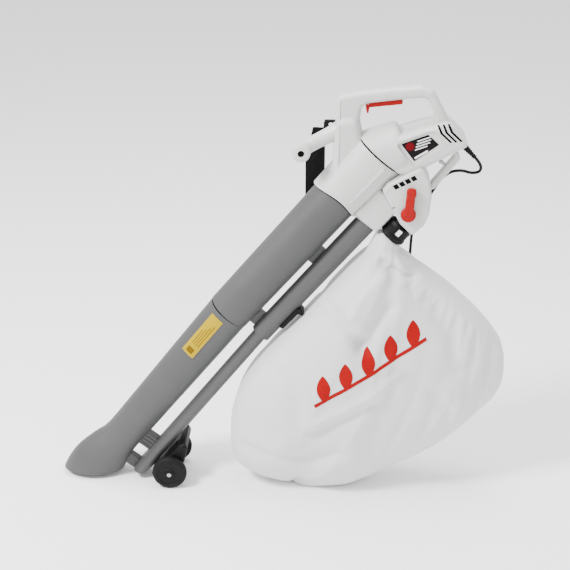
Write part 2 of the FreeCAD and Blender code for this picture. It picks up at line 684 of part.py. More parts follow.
def rotor():
    shaft, wheel = dim("shaft_radius"), float(dim("impeller_radius"))
    keep(cylinder(MOTOR, shaft, 158, (-26, 0, 0), "x"), "rotor_shaft")
    disc = cylinder(MOTOR, wheel, 2.5, (11, 0, 0), "x")
    hub = cylinder(MOTOR, 15, 23, (-9.5, 0, 0), "x")
    blades = []
    for number in range(8):
        turn = Placement(Vector(0, 0, 0), Rotation(Vector(1, 0, 0), 45.0 * number))
        blades.append(block(MOTOR.multiply(turn), (22, 2.5, wheel - 14), (-10.5, -1.25, 12)))
    keep(cut(fuse(disc, hub, *blades), cylinder(MOTOR, shaft, 60, (-30, 0, 0), "x")), "impeller")
    blade = block(MOTOR, (3, 74, 12), (-13.5, -37, -6))
    keep(cut(blade, cylinder(MOTOR, shaft, 60, (-30, 0, 0), "x")), "shredder_blade")
    keep(ring(MOTOR, 8, shaft, 6, (-19.6, 0, 0), "x"), "impeller_nut")
    keep(ring(MOTOR, 29, shaft, 5, (37, 0, 0), "x"), "cooling_fan")
    keep(ring(MOTOR, 19.6, shaft, 44, (54, 0, 0), "x"), "armature")
    keep(fuse(ring(MOTOR, 17, shaft, 6.5, (47.4, 0, 0), "x"), ring(MOTOR, 17, shaft, 5.5, (98.1, 0, 0), "x")),
         "armature_winding")
    keep(ring(MOTOR, 13, shaft, 12, (105, 0, 0), "x"), "commutator")


def motor_parts():
    shaft, stator = dim("shaft_radius"), dim("stator_radius")
    keep(ring(MOTOR, stator, 20.3, 44, (54, 0, 0), "x"), "stator")
    keep(fuse(ring(MOTOR, 28, 21, 8, (45.9, 0, 0), "x"), ring(MOTOR, 28, 21, 7, (98.1, 0, 0), "x")), "field_coils")
    keep(cut(block(MOTOR, (6, 97.8, 50), (72, -48.9, -25)), cylinder(MOTOR, stator + 0.02, 20, (65, 0, 0), "x")),
         "motor_cradle")
    keep(fuse(ring(MOTOR, 12, shaft + 0.05, 7, (26.2, 0, 0), "x"),
              ring(MOTOR, 12, shaft + 0.05, 7, (120.5, 0, 0), "x")), "bearings")
    sides = []
    brushes = []
    for side in (-1, 1):
        start = 13.4 if side > 0 else -34.4
        sides.append(cut(block(MOTOR, (10, 21, 12), (106, start, -6)),
                         block(MOTOR, (6, 40, 8), (108, start - 5, -4))))
        brushes.append(block(MOTOR, (5.8, 14, 7.8), (108.1, 13.2 if side > 0 else -27.2, -3.9)))
    keep(fuse(*sides), "brush_holders")
    keep(fuse(*brushes), "carbon_brushes")


# ---------------------------------------------------------------- bag

BAG_SECTIONS = [
    # along x, low z, high z, half width across y
    (-118, 78, 175, 22), (-92, 30, 268, 62), (-40, 0, 350, 94), (35, 0, 440, 112), (100, 0, 506, 120),
    (150, 0, 560, 122), (205, 0, 606, 116), (235, 0, 606, 110), (300, 66, 556, 104), (380, 132, 494, 92),
    (450, 210, 432, 66), (500, 276, 366, 28)]


def bag_loop(x, low, high, half, across):
    """A rounded rectangle across the machine."""
    corner = min(half, (high - low) / 2) * 0.7
    centres = [(half - corner, high - corner), (-half + corner, high - corner),
               (-half + corner, low + corner), (half - corner, low + corner)]
    arcs = []
    for quarter, (y, z) in enumerate(centres):
        points = []
        for turn in (0, 45, 90):
            angle = math.radians(90.0 * quarter + turn)
            points.append(Vector(x, across + y + corner * math.cos(angle), z + corner * math.sin(angle)))
        arcs.append(Part.Arc(*points))
    edges = []
    for arc, after in zip(arcs, arcs[1:] + arcs[:1]):
        edges.append(arc.toShape())
        edges.append(Part.LineSegment(arc.EndPoint, after.StartPoint).toShape())
    return Part.Wire(edges)


def bag():
    across = float(dim("blower_side")) - 4.0
    skin = 2.0
    outer = Part.makeLoft([bag_loop(x, low if low else -1.0, high, half, across)
                           for x, low, high, half in BAG_SECTIONS], True, True)
    outer = outer.cut(Part.makeBox(800, 400, 50, Vector(-300, -200, -50)))
    hollow = []
    for x, low, high, half in BAG_SECTIONS:
        x_in = x + skin * 2 if x < -100 else (x - skin * 2 if x > 490 else x)
        hollow.append(bag_loop(x_in, low + skin, high - skin, half - skin, across))
    cloth = doc.addObject("Part::Feature", "collection_bag")
    cloth.Shape = outer.cut(Part.makeLoft(hollow, True, True))
    cloth.Placement = WORLD
    keep(cloth, "collection_bag")
    filled = doc.addObject("Part::Feature", "bag_envelope")
    filled.Shape = outer
    filled.Placement = WORLD
    keep(cut(ring(TOOL, 31.0, 29.1, 52, (40, float(dim("diverter_side")), -148), "x"), filled), "bag_neck")


# ---------------------------------------------------------------- lead

CORD_ROUTE = [(416.8, 0, 814.5), (431, 1, 799.5), (433, 10, 778), (414, 22, 770), (392, 26, 776),
              (366, 28, 771), (346, 30, 752), (332, 36, 724), (318, 48, 696), (304, 66, 664),
              (296, 84, 628), (292, 98, 590), (291, 106, 550), (291, 110, 508)]


def cord_path():
    """Straight runs joined by arcs that are as large as their two runs allow."""
    points = [Vector(*point) for point in CORD_ROUTE]
    edges = []
    start = points[0]
    for before, corner, after in zip(points, points[1:], points[2:]):
        back, ahead = before - corner, after - corner
        turn = math.pi - back.getAngle(ahead)
        radius = 0.45 * min(back.Length, ahead.Length) / math.tan(turn / 2)
        reach = radius * math.tan(turn / 2)
        print("cord arc radius %.1f, turn %.0f" % (radius, math.degrees(turn)))
        back.normalize()
        ahead.normalize()
        first, last = corner + back * reach, corner + ahead * reach
        inward = back + ahead
        inward.normalize()
        centre = corner + inward * (radius / math.cos(turn / 2))
        middle = centre - inward * radius
        edges.append(Part.LineSegment(start, first).toShape())
        edges.append(Part.Arc(first, middle, last).toShape())
        start = last
    edges.append(Part.LineSegment(start, points[-1]).toShape())
    return Part.Wire(edges)


def lead():
    radius = float(dim("cord_diameter")) / 2
    path = cord_path()
    direction = Vector(*CORD_ROUTE[1]) - Vector(*CORD_ROUTE[0])
    section = Part.Wire([Part.makeCircle(radius, Vector(*CORD_ROUTE[0]), direction)])
    tube = path.makePipeShell([section], True, False)
    ideal = math.pi * radius ** 2 * path.Length
    print("cord length %.1f, volume ratio %.4f" % (path.Length, tube.Volume / ideal))
    feature = doc.addObject("Part::Feature", "power_cord")
    feature.Shape = tube
    feature.Placement = WORLD
    keep(feature, "power_cord")
    end = Vector(*CORD_ROUTE[-1])
    body = rounded(block(WORLD, (22, 26, 42), (end.x - 11, end.y - 13, end.z - 42)), 4.0, lambda point: True)
    pins = [block(WORLD, (6.3, 1.6, 19), (end.x - 3.15, end.y + side * 6.5 - 0.8, end.z - 59))
            for side in (-1, 1)]
    keep(fuse(body, *pins), "plug")
    slope = (13.5, 0, -14)
    keep(cone(WORLD, 8.5, 5.0, 46, (384.7, 0, 847.7), slope), "strain_relief")


def build():
    vacuum_tubes()
    air_housings()
    envelope = housing_envelope()
    main_housings(envelope)
    controls()
    diverter(envelope)
    mode_control()
    blower_tubes()
    tubes = tube_envelope()
    brackets(tubes)
    running_gear(tubes)
    carrying_parts(envelope)
    rotor()
    motor_parts()
    bag()
    lead()


def write_parts():
    doc.recompute()
    failed = [(obj.Name, obj.Label) for obj in doc.Objects
              if "Invalid" in obj.State or "Error" in obj.State]
    for name, label in failed:
        inputs = [(item.Name, item.Label) for item in doc.getObject(name).OutList]
        print("failed", name, label, "from", inputs)
    assert not failed, "%d objects failed" % len(failed)
    os.makedirs("parts", exist_ok=True)
    for label, obj in NODES.items():
        shape = obj.Shape
        assert not shape.isNull() and shape.isValid(), label + " has a bad shape"
        assert shape.Solids, label + " has no solid"
        shape.exportStep("parts/%s.step" % label)
        print("%-22s solids %d volume %.0f" % (label, len(shape.Solids), shape.Volume))


build()
write_parts()
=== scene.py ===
import bpy
import bmesh
import json
import math
from mathutils import Matrix, Vector
from mathutils.bvhtree import BVHTree


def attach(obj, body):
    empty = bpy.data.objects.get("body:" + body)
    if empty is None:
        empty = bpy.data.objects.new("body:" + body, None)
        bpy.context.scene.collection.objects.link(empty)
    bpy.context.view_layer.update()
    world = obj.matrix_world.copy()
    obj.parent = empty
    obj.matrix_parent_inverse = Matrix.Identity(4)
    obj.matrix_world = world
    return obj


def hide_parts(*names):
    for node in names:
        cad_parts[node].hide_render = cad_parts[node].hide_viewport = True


# Looks of a leaf vacuum mulcher.  Lengths in the helpers are millimetres in the machine's own axes.
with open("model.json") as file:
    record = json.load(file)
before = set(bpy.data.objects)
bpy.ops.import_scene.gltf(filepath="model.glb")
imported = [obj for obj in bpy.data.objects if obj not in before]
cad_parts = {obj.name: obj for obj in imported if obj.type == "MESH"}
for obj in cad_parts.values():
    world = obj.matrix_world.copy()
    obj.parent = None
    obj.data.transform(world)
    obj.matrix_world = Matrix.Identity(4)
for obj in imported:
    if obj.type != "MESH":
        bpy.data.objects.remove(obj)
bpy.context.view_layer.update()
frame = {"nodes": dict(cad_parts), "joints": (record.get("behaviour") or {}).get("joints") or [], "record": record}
joints = {joint["name"]: joint for joint in frame["joints"]}
# where the rotor lies in the machine's own axes, in metres; it ties those axes to the row frame
ROTOR_AT = Vector((0.2245, 0.0, 0.8270))
ORIGIN = Vector(joints["rotor_spin"]["pos_m"]) - ROTOR_AT
MM = Matrix.Scale(0.001, 4)


def at(x, y, z):
    """A point given in millimetres in the machine's axes, in the row frame."""
    return ORIGIN + Vector((x, y, z)) * 0.001


def tilted(x, z, degrees):
    """The place of a frame at (x, z) whose own x axis rises at the given angle, from millimetres."""
    return Matrix.Translation(at(x, 0, z)) @ Matrix.Rotation(math.radians(-degrees), 4, "Y") @ MM


# the four frames that the outlines are drawn in: upright, along the upper tube, along the lower tube
# from the joint between them, and along the motor
LEAN, LOWER_LEAN, MOTOR_LEAN = 49.5, 51.5, 20.0
JOINT_DOWN = 300
RISE = math.radians(LEAN)
WORLD = tilted(0, 0, 0)
TOOL = tilted(65.8, 662.7, LEAN)
LOWER = tilted(65.8 - JOINT_DOWN * math.cos(RISE), 662.7 - JOINT_DOWN * math.sin(RISE), LOWER_LEAN)
MOTOR = tilted(224.5, 827.0, MOTOR_LEAN)
NODES = frame["nodes"]


# ---------------------------------------------------------------- materials

def node(tree, kind, **values):
    """A shader node with the given settings and input values."""
    made = tree.nodes.new(kind)
    for key, value in values.items():
        if hasattr(made, key):
            setattr(made, key, value)
        else:
            made.inputs[key.replace("_", " ")].default_value = value
    return made


def material(name, colour, rough, spread=0.04, grain=900.0, depth=0.05, **extra):
    """A moulded or woven surface: small shifts of tone and gloss, and a fine grain."""
    made = bpy.data.materials.new(name)
    made.use_nodes = True
    tree = made.node_tree
    shader = tree.nodes["Principled BSDF"]
    place = node(tree, "ShaderNodeTexCoord")
    cloud = node(tree, "ShaderNodeTexNoise", Scale=14.0, Detail=4.0)
    ramp = node(tree, "ShaderNodeValToRGB")
    dark = [channel * (1 - spread) for channel in colour]
    light = [min(1.0, channel * (1 + spread)) for channel in colour]
    ramp.color_ramp.elements[0].position = 0.3
    ramp.color_ramp.elements[1].position = 0.7
    ramp.color_ramp.elements[0].color = (*dark, 1)
    ramp.color_ramp.elements[1].color = (*light, 1)
    gloss = node(tree, "ShaderNodeMapRange")
    gloss.inputs["To Min"].default_value = max(0.05, rough - 0.06)
    gloss.inputs["To Max"].default_value = min(1.0, rough + 0.06)
    fine = node(tree, "ShaderNodeTexNoise", Scale=grain, Detail=2.0)
    bump = node(tree, "ShaderNodeBump", Strength=depth, Distance=0.0006)
    link = tree.links.new
    link(place.outputs["Object"], cloud.inputs["Vector"])
    link(place.outputs["Object"], fine.inputs["Vector"])
    link(cloud.outputs["Fac"], ramp.inputs["Fac"])
    link(cloud.outputs["Fac"], gloss.inputs["Value"])
    link(ramp.outputs["Color"], shader.inputs["Base Color"])
    link(gloss.outputs["Result"], shader.inputs["Roughness"])
    link(fine.outputs["Fac"], bump.inputs["Height"])
    link(bump.outputs["Normal"], shader.inputs["Normal"])
    for key, value in extra.items():
        shader.inputs[key.replace("_", " ")].default_value = value
    return made


def woven(name, colour, pitch, depth, sheen=0.3, **extra):
    """Cloth: two crossed thread waves over a slow change of tone."""
    made = material(name, colour, 0.8, 0.03, 300.0, 0.1, **extra)
    tree = made.node_tree
    shader = tree.nodes["Principled BSDF"]
    shader.inputs["Sheen Weight"].default_value = sheen
    place = next(item for item in tree.nodes if item.type == "TEX_COORD")
    height = node(tree, "ShaderNodeMath", operation="ADD")
    for index, direction in enumerate(("X", "Z")):
        wave = node(tree, "ShaderNodeTexWave", bands_direction=direction, Scale=1.0 / pitch)
        tree.links.new(place.outputs["Object"], wave.inputs["Vector"])
        tree.links.new(wave.outputs["Fac"], height.inputs[index])
    bump = next(item for item in tree.nodes if item.type == "BUMP")
    bump.inputs["Strength"].default_value = depth
    tree.links.new(height.outputs[0], bump.inputs["Height"])
    return made


SHELL = material("shell_white", (0.50, 0.50, 0.49), 0.36, 0.03)
SHELL_GREY = material("shell_grey", (0.42, 0.42, 0.415), 0.42, 0.03)
TUBE = material("tube_grey", (0.060, 0.060, 0.061), 0.5, 0.05, Specular_IOR_Level=0.3)
BLACK = material("black_plastic", (0.004, 0.004, 0.0045), 0.5, 0.1, Specular_IOR_Level=0.12)
# painted shade: a near-black matt material without gloss, laid in gaps, slots, holes and under rims where shade
# falls
SHADE_PAINT = material("painted_shade_black", (0.004, 0.004, 0.004), 0.9, 0.1, Specular_IOR_Level=0.03)
SEAM = material("seam_grey", (0.16, 0.16, 0.16), 0.6, 0.05)
RUBBER = material("wheel_rubber", (0.004, 0.004, 0.0045), 0.6, 0.15, 500.0, 0.15, Specular_IOR_Level=0.14)
GRIP = material("relief_rubber", (0.004, 0.004, 0.004), 0.6, 0.1, Specular_IOR_Level=0.14)
RED = material("red_plastic", (0.27, 0.0, 0.0005), 0.4, 0.05, Specular_IOR_Level=0.15)
RED_PRINT = material("red_print", (0.27, 0.0, 0.001), 0.7, 0.06, Specular_IOR_Level=0.1)
RED_DARK = material("red_film", (0.10, 0.0, 0.003), 0.6, 0.06, Specular_IOR_Level=0.1)
YELLOW = material("yellow_film", (0.36, 0.25, 0.0), 0.6, 0.05, Specular_IOR_Level=0.1)
PRINT_DARK = material("dark_film", (0.004, 0.003, 0.003), 0.6, 0.05, Specular_IOR_Level=0.1)
PRINT_LIGHT = material("light_print", (0.75, 0.75, 0.74), 0.5, 0.03)
PRINT_BROWN = material("faint_print", (0.14, 0.075, 0.0), 0.7, 0.05, Specular_IOR_Level=0.1)
STEEL = material("steel", (0.30, 0.30, 0.30), 0.35, 0.05, Metallic=1.0)
CORE = material("core_steel", (0.18, 0.18, 0.19), 0.5, 0.1, Metallic=0.9)
COPPER = material("copper_wire", (0.65, 0.28, 0.12), 0.35, 0.1, Metallic=1.0)
ALUMINIUM = material("cast_aluminium", (0.6, 0.6, 0.62), 0.4, 0.06, 400.0, 0.2, Metallic=1.0)
CARBON = material("carbon", (0.03, 0.03, 0.03), 0.7, 0.1)
CLIP = material("clip_white", (0.85, 0.85, 0.84), 0.4, 0.02)
CLOTH = woven("bag_cloth", (0.60, 0.60, 0.595), 0.0016, 0.12, 0.1)
WEBBING = woven("webbing", (0.003, 0.003, 0.0035), 0.0022, 0.5, 0.02, Specular_IOR_Level=0.1)
CORD = material("cord_black", (0.004, 0.004, 0.004), 0.5, 0.1, Specular_IOR_Level=0.14)

SLOTS = {
    "shell_white": SHELL, "shell_grey": SHELL_GREY, "tube_grey": TUBE, "black_plastic": BLACK,
    "soft_grip": GRIP, "wheel_black": RUBBER, "red_plastic": RED, "bag_cloth": CLOTH, "webbing": WEBBING,
    "cord_black": CORD, "steel": STEEL, "core_steel": CORE, "copper": COPPER,
    "fan_aluminium": ALUMINIUM, "carbon": CARBON, "clip_white": CLIP}


def smooth(obj, degrees=40.0):
    """Smooth shading, with edges sharper than the angle left crisp."""
    mesh = obj.data
    limit = math.radians(degrees)
    bm = bmesh.new()
    bm.from_mesh(mesh)
    for face in bm.faces:
        face.smooth = True
    for edge in bm.edges:
        edge.smooth = not (len(edge.link_faces) == 2 and edge.calc_face_angle(0.0) > limit)
    bm.to_mesh(mesh)
    bm.free()


def dress_frame():
    """Each carried-over CAD node gets its material, and its edges a small moulded radius."""
    for item in frame["record"]["subparts"]:
        obj = NODES[item["node"]]
        obj.data.materials.clear()
        obj.data.materials.append(SLOTS[item["material_slot"]])
        bevel = obj.modifiers.new("edge", "BEVEL")
        bevel.width = 0.0008
        bevel.segments = 2
        bevel.limit_method = "ANGLE"
        bevel.angle_limit = math.radians(50)


# ---------------------------------------------------------------- pieces

def publish(name, mesh, mat, body="machine", instead_of=()):
    """The mesh as a finished piece that rides a body."""
    mesh.materials.clear()
    mesh.materials.append(mat)
    obj = bpy.data.objects.new(name, mesh)
    bpy.context.scene.collection.objects.link(obj)
    smooth(obj)
    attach(obj, body)
    if instead_of:
        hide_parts(*instead_of)
    return obj


def mesh_from(verts, faces, place):
    """A mesh from points in the frame place."""
    mesh = bpy.data.meshes.new("piece")
    mesh.from_pydata([place @ Vector(v) for v in verts], [], faces)
    mesh.update()
    return mesh


def outward(mesh, merge=0.0):
    """The mesh with its faces turned outwards, after points closer than merge are made one."""
    bm = bmesh.new()
    bm.from_mesh(mesh)
    if merge:
        bmesh.ops.remove_doubles(bm, verts=bm.verts, dist=merge)
    bmesh.ops.recalc_face_normals(bm, faces=bm.faces)
    bm.to_mesh(mesh)
    bm.free()
    return mesh


def ring_faces(rings, around, ends=True):
    """Faces between closed rings of points, then the two ends."""
    faces = []
    for ring in range(rings - 1):
        for step in range(around):
            after = (step + 1) % around
            faces.append((ring * around + step, ring * around + after,
                          (ring + 1) * around + after, (ring + 1) * around + step))
    if ends:
        faces.append(tuple(range(around))[::-1])
        faces.append(tuple((rings - 1) * around + step for step in range(around)))
    return faces


def grid_faces(rows, columns, start=0):
    """Faces of a grid of rows by columns points, the first of which has the number start."""
    faces = []
    for row in range(rows - 1):
        for column in range(columns - 1):
            corner = start + row * columns + column
            faces.append((corner, corner + 1, corner + columns + 1, corner + columns))
    return faces


def circle(x, z, radius, count):
    """A round outline."""
    angles = [step * math.pi / (count / 2) for step in range(count)]
    return [(x + radius * math.cos(angle), z + radius * math.sin(angle)) for angle in angles]


def box_mesh(x_range, y_range, z_range, place):
    """A closed box between the given limits."""
    corners = [(x, y, z) for x in x_range for y in y_range for z in z_range]
    sides = [(0, 1, 3, 2), (4, 6, 7, 5), (0, 4, 5, 1), (2, 3, 7, 6), (0, 2, 6, 4), (1, 5, 7, 3)]
    return outward(mesh_from(corners, sides, place))


def arc_corners(points, radius, steps=6):
    """A closed outline with its corners rounded; a point may carry its own radius."""
    result = []
    count = len(points)
    for index in range(count):
        here = Vector(points[index][:2])
        size = points[index][2] if len(points[index]) > 2 else radius
        back = Vector(points[index - 1][:2]) - here
        ahead = Vector(points[(index + 1) % count][:2]) - here
        half = back.angle(ahead) / 2
        reach = size / max(math.tan(half), 0.05)
        reach = min(reach, back.length * 0.48, ahead.length * 0.48)
        if reach < 0.3:
            result.append(tuple(here))
            continue
        first, last = here + back.normalized() * reach, here + ahead.normalized() * reach
        for step in range(steps + 1):
            t = step / steps
            spot = first * (1 - t) ** 2 + here * 2 * t * (1 - t) + last * t ** 2
            result.append(tuple(spot))
    return result


def slab_mesh(outlines, side_from, side_to, bevel, place, segments=5):
    """A side profile given thickness across the machine, its rims rolled over by the bevel."""
    curve = bpy.data.curves.new("slab", "CURVE")
    curve.dimensions = "2D"
    curve.fill_mode = "BOTH"
    curve.extrude = (side_to - side_from) / 2 - bevel
    curve.bevel_depth = bevel
    curve.bevel_resolution = segments
    curve.offset = -bevel
    for outline in outlines:
        spline = curve.splines.new("POLY")
        spline.points.add(len(outline) - 1)
        for point, (x, z) in zip(spline.points, outline):
            point.co = (x, z, 0, 1)
        spline.use_cyclic_u = True
    holder = bpy.data.objects.new("slab", curve)
    bpy.context.scene.collection.objects.link(holder)
    shown = holder.evaluated_get(bpy.context.evaluated_depsgraph_get())
    mesh = bpy.data.meshes.new_from_object(shown)
    bpy.data.objects.remove(holder)
    bpy.data.curves.remove(curve)
    turn = Matrix.Translation((0, (side_from + side_to) / 2, 0)) @ Matrix.Rotation(math.pi / 2, 4, "X")
    mesh.transform(place @ turn)
    return outward(mesh, merge=1e-5)


def catmull(values, position):
    """A smooth value between keys."""
    last = len(values) - 1
    index = min(int(position), last - 1)
    t = position - index
    a, b, c, d = (values[max(0, min(last, index + step))] for step in (-1, 0, 1, 2))
    return [0.5 * (2 * q + (r - p) * t + (2 * p - 5 * q + 4 * r - s) * t * t
                   + (3 * q - p - 3 * r + s) * t ** 3) for p, q, r, s in zip(a, b, c, d)]


def tube_mesh(sections, place, around=72, per_key=8, thickness=0.0, caps=False, straight=False):
    """A tube through ovals (x, y, z, half_y, half_z, tilt) in order along the frame's x axis."""
    verts = []
    keys = len(sections) - 1
    rings = keys * per_key + 1
    for ring in range(rings):
        position = ring / per_key
        if straight:
            index = min(int(position), keys - 1)
            t = position - index
            spot = [a + (b - a) * t for a, b in zip(sections[index], sections[index + 1])]
        else:
            spot = catmull(sections, position)
        x, y, z, half_y, half_z, tilt = spot
        lean = math.radians(tilt)
        for step in range(around):
            angle = 2 * math.pi * step / around
            high = half_z * math.sin(angle)
            verts.append((x + high * math.sin(lean), y + half_y * math.cos(angle), z + high * math.cos(lean)))
    mesh = outward(mesh_from(verts, ring_faces(rings, around, caps), place))
    if thickness:
        mesh = with_modifier(mesh, "SOLIDIFY", thickness=thickness * 0.001, offset=-1.0, use_even_offset=True)
    return mesh


def with_modifier(mesh, kind, **values):
    """The mesh after one modifier."""
    holder = bpy.data.objects.new("holder", mesh)
    bpy.context.scene.collection.objects.link(holder)
    modifier = holder.modifiers.new("step", kind)
    for key, value in values.items():
        setattr(modifier, key, value)
    shown = holder.evaluated_get(bpy.context.evaluated_depsgraph_get())
    result = bpy.data.meshes.new_from_object(shown)
    bpy.data.objects.remove(holder)
    return result


def lathe_mesh(profile, place, around=64):
    """A closed profile (x, radius) turned about the frame's x axis."""
    verts, faces = [], []
    count = len(profile)
    for step in range(around):
        angle = 2 * math.pi * step / around
        for x, radius in profile:
            verts.append((x, radius * math.cos(angle), radius * math.sin(angle)))
    for step in range(around):
        after = (step + 1) % around
        for index in range(count):
            following = (index + 1) % count
            faces.append((step * count + index, step * count + following,
                          after * count + following, after * count + index))
    return outward(mesh_from(verts, faces, place), merge=1e-6)


def joined(*meshes):
    """Several meshes as one."""
    bm = bmesh.new()
    for mesh in meshes:
        bm.from_mesh(mesh)
    result = bpy.data.meshes.new("joined")
    bm.to_mesh(result)
    bm.free()
    return result


def blended(meshes, voxel=0.0016, rounds=5):
    """Several closed shapes grown into one skin with soft inner corners."""
    mesh = with_modifier(joined(*meshes), "REMESH", mode="VOXEL", voxel_size=voxel, use_smooth_shade=True)
    return with_modifier(mesh, "SMOOTH", factor=0.5, iterations=rounds)


def carved(mesh, cutters):
    """The mesh with pockets of the given shapes cut into it."""
    for cutter in cutters:
        tool = bpy.data.objects.new("cutter", cutter)
        bpy.context.scene.collection.objects.link(tool)
        tool.hide_render = True
        mesh = with_modifier(mesh, "BOOLEAN", operation="DIFFERENCE", object=tool, solver="EXACT")
        bpy.data.objects.remove(tool)
    return mesh


def seam_mesh(points, width, place, closed=False):
    """A thin round bead through points."""
    curve = bpy.data.curves.new("seam", "CURVE")
    curve.dimensions = "3D"
    curve.bevel_depth = width / 2 * 0.001
    curve.bevel_resolution = 3
    curve.use_fill_caps = True
    spline = curve.splines.new("POLY")
    spline.points.add(len(points) - 1)
    for point, where in zip(spline.points, points):
        spot = place @ Vector(where)
        point.co = (*spot, 1)
    spline.use_cyclic_u = closed
    holder = bpy.data.objects.new("seam", curve)
    bpy.context.scene.collection.objects.link(holder)
    mesh = bpy.data.meshes.new_from_object(holder.evaluated_get(bpy.context.evaluated_depsgraph_get()))
    bpy.data.objects.remove(holder)
    bpy.data.curves.remove(curve)
    return mesh


# ---------------------------------------------------------------- tubes

TUBE_WALL, AIR_WALL = 2.2, 2.0
AIR_Y, AIR_Z = -12.0, -87.5


def tubes():
    """The vacuum tube with its nozzle, and under it the thinner tube of the blower."""
    publish("main_tube", tube_mesh([(-300, 0, 0, 51, 51, 0), (98, 0, 0, 54, 54, 0)], TOOL, per_key=24,
                                   thickness=TUBE_WALL, straight=True), TUBE,
            instead_of=["upper_vacuum_tube"])
    lower = [(-2.4, 0, 0, 50, 50, 0), (-150, 0, 0, 48.2, 48.2, 0), (-330, 0, 0, 45.6, 45.6, 0),
             (-400, 0, 0, 44.6, 44.8, 0), (-436, 0, 1, 44.8, 45.8, -2), (-462, 0, 5.5, 46.2, 52.5, -12),
             (-496, 0, 8.6, 48.4, 62.8, -23), (-520, 0, 7, 49.4, 69, -31), (-541.3, 0, 2.6, 50, 74, -38.5)]
    publish("nozzle_tube", tube_mesh(lower, LOWER, per_key=10, thickness=TUBE_WALL), TUBE,
            instead_of=["lower_vacuum_tube"])
    publish("air_tube", tube_mesh([(-286, AIR_Y, AIR_Z, 24, 24, 0), (101, AIR_Y, AIR_Z, 25, 25, 0)], TOOL,
                                  per_key=20, thickness=AIR_WALL, straight=True), TUBE,
            instead_of=["upper_blower_tube"])
    ovals = [(12, 22, 16.4, 0), (-60, 22.8, 16.4, 0), (-300, 25, 16.4, 0), (-400, 29, 16.6, 0),
             (-436, 31.5, 17.0, -8), (-464, 33, 19.8, -38.5)]
    low = [(along, AIR_Y, AIR_Z, half_y, half_z, tilt) for along, half_y, half_z, tilt in ovals]
    publish("air_nozzle", tube_mesh(low, LOWER, per_key=8, thickness=AIR_WALL), TUBE,
            instead_of=["lower_blower_tube"])


# ---------------------------------------------------------------- housings

# seen from the side of the handle, the rim of the cone is an arc of this radius about a point on the tube
RIM_CENTRE, RIM_RADIUS = 172.5, 104.0


def rim_x(y):
    """How far along the tube the cone's rim lies, at a distance y from the tube's middle plane."""
    return RIM_CENTRE - math.sqrt(RIM_RADIUS ** 2 - y ** 2)


def rim_cutter():
    """All that lies before the cone's rim."""
    outline = [(20, 84), (20, -84)] + [(rim_x(step * 7.0), step * 7.0) for step in range(-12, 13)]
    verts = [(x, y, z) for z in (-90, 90) for x, y in outline]
    count = len(outline)
    faces = [tuple(range(count))[::-1], tuple(range(count, 2 * count))]
    faces += [(i, (i + 1) % count, count + (i + 1) % count, count + i) for i in range(count)]
    return outward(mesh_from(verts, faces, TOOL))


def front_shell():
    """The cone over the tube grown together with the handle's post and grip."""
    cone = [(66, 0, 0, 60, 60, 0), (110, 0, -1.5, 59.8, 62, 0), (213, 0, -5.5, 59, 66, 0)]
    body = tube_mesh(cone, TOOL, caps=True, straight=True)
    grip = slab_mesh([arc_corners([
        (76, 768, 6), (106, 803, 10), (109, 860, 14), (111, 940, 16), (121, 954, 14), (161, 961, 40),
        (230, 970, 60), (294, 975, 18), (318, 967, 14), (327, 955, 12), (361, 893, 8), (350, 876, 4),
        (320, 876, 8), (324, 911, 10), (309, 946, 12), (296, 949, 10), (250, 945, 30), (178, 936, 12),
        (166, 926, 12), (163, 900, 30), (170, 868, 16), (168, 820, 4), (100, 766, 6)], 10)],
        -17, 17, 11, WORLD)
    post = slab_mesh([arc_corners([(72, 757, 8), (105, 800, 10), (108, 852, 14), (113, 905, 20),
                                   (158, 905, 20), (168, 862, 20), (185, 838, 10), (170, 790, 10),
                                   (110, 745, 10)], 10)], -31, 30, 14, WORLD)
    ribs = []
    for low, y in ((-21, -56.5), (-40, -46.0)):
        line = [(100, y + 1.2, low, 3.6, 3.6, 0), (205, y, low - 2.5, 4.2, 4.2, 0)]
        ribs.append(tube_mesh(line, TOOL, caps=True, straight=True))
    mesh = blended([body, grip, post] + ribs, 0.0018, 4)
    bore = tube_mesh([(20, 0, 0, 56.8, 56.8, 0), (220, 0, 0, 56, 56, 0)], TOOL, per_key=2, caps=True,
                     straight=True)
    slot = slab_mesh([[(168.5, 919), (257.5, 927), (257.5, 958), (168.5, 951)]], -8.6, 8.6, 0.5, WORLD, 1)
    mesh = carved(mesh, [rim_cutter(), bore, slot])
    return publish("front_shell", mesh, SHELL,
                   instead_of=["front_housing", "handle_left", "handle_right"])


def front_lines(shell):
    """The lip round the mouth of the cone, its shadow, and the parting line of the handle."""
    lip, shade = [], []
    for step in range(120):
        angle = 2 * math.pi * step / 120
        for radius, points, shift in ((58.6, lip, 0.4), (55.4, shade, -1.2)):
            y, z = radius * math.cos(angle), radius * math.sin(angle)
            points.append((rim_x(y) + shift, y, z))
    publish("mouth_lip", seam_mesh(lip, 3.0, TOOL, True), SHELL)
    publish("mouth_shadow", seam_mesh(shade, 2.6, TOOL, True), SHADE_PAINT)
    strip = []
    for index in range(30):
        t = index / 29
        x, z = 119 + 2 * t, 800 + 148 * t
        strip.append([(x - 0.55, z), (x + 0.55, z)])
    printed("handle_parting", [strip], shell, SEAM, 0.0003)


